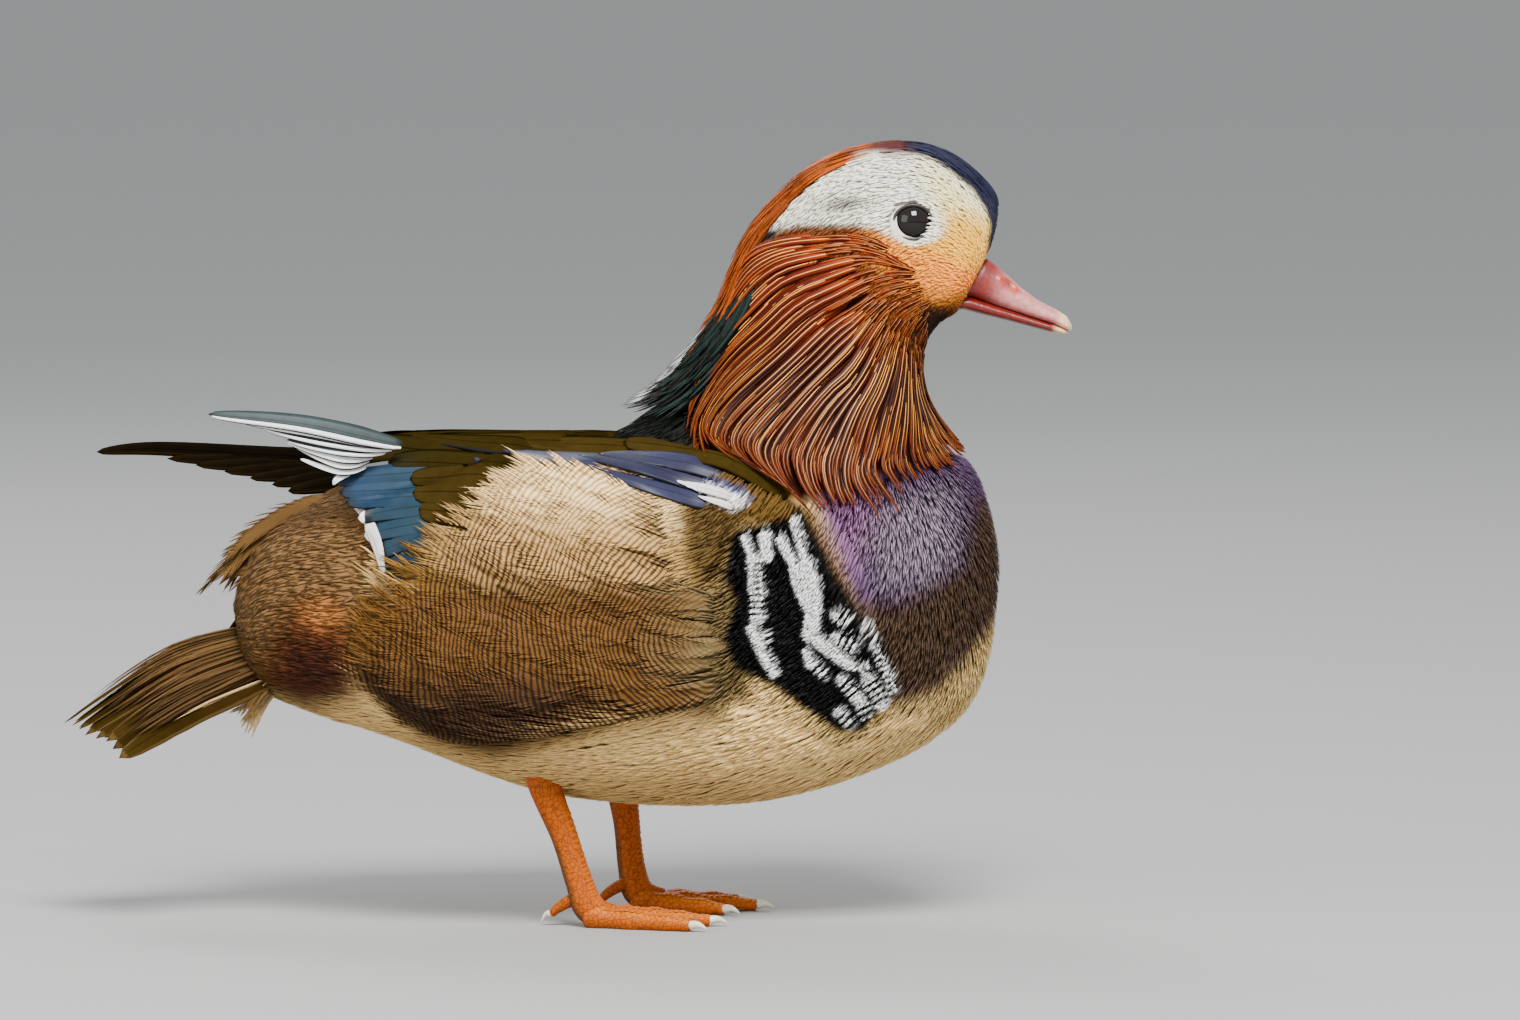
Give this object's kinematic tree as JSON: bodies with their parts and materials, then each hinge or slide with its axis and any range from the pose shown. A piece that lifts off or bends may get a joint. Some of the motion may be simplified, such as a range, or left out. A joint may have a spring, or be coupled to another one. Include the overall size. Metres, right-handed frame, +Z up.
{
  "type": "mandarin duck drake model",
  "caption": "Life-size standing mandarin duck drake, a still museum-style model with ruff, nape crest, folded wings, fanned flanks and webbed feet.",
  "frame": {"origin": "on the ground, under the middle of the bounding box", "axes": "+X towards the bill, +Y to the bird's left, +Z up"},
  "size_m": [0.3129, 0.1156, 0.2424],
  "materials": {
    "face_plumage": "short soft feathers, white brow stripe, buff to orange cheek, glossy dark forehead",
    "eye": "wet, glossy black-brown",
    "bill": "satin pinkish red with a pale nail",
    "crest_plumage": "silky copper turning green-black on the nape",
    "ruff_plumage": "narrow glossy hackles, chestnut with orange edges and cream shafts",
    "breast_plumage": "maroon-violet breast with a faint blue sheen, cream belly, brown rump",
    "wing_plumage": "olive brown with a teal-blue speculum and violet bars",
    "flank_plumage": "golden buff with fine wavy dark lines",
    "tail_plumage": "grey-brown vanes with pale edges",
    "leg_skin": "satin orange scutes, dusky webs and pale claws"
  },
  "bodies": {
    "root": {"head": "face_plumage", "eye_right": "eye", "eye_left": "eye", "bill_upper": "bill", "bill_lower": "bill", "crest": "crest_plumage", "neck": "ruff_plumage", "torso": "breast_plumage", "wing_right": "wing_plumage", "wing_left": "wing_plumage", "flank_right": "flank_plumage", "flank_left": "flank_plumage", "tail": "tail_plumage", "leg_right": "leg_skin", "leg_left": "leg_skin", "foot_right": "leg_skin", "foot_left": "leg_skin"}
  },
  "joints": []
}
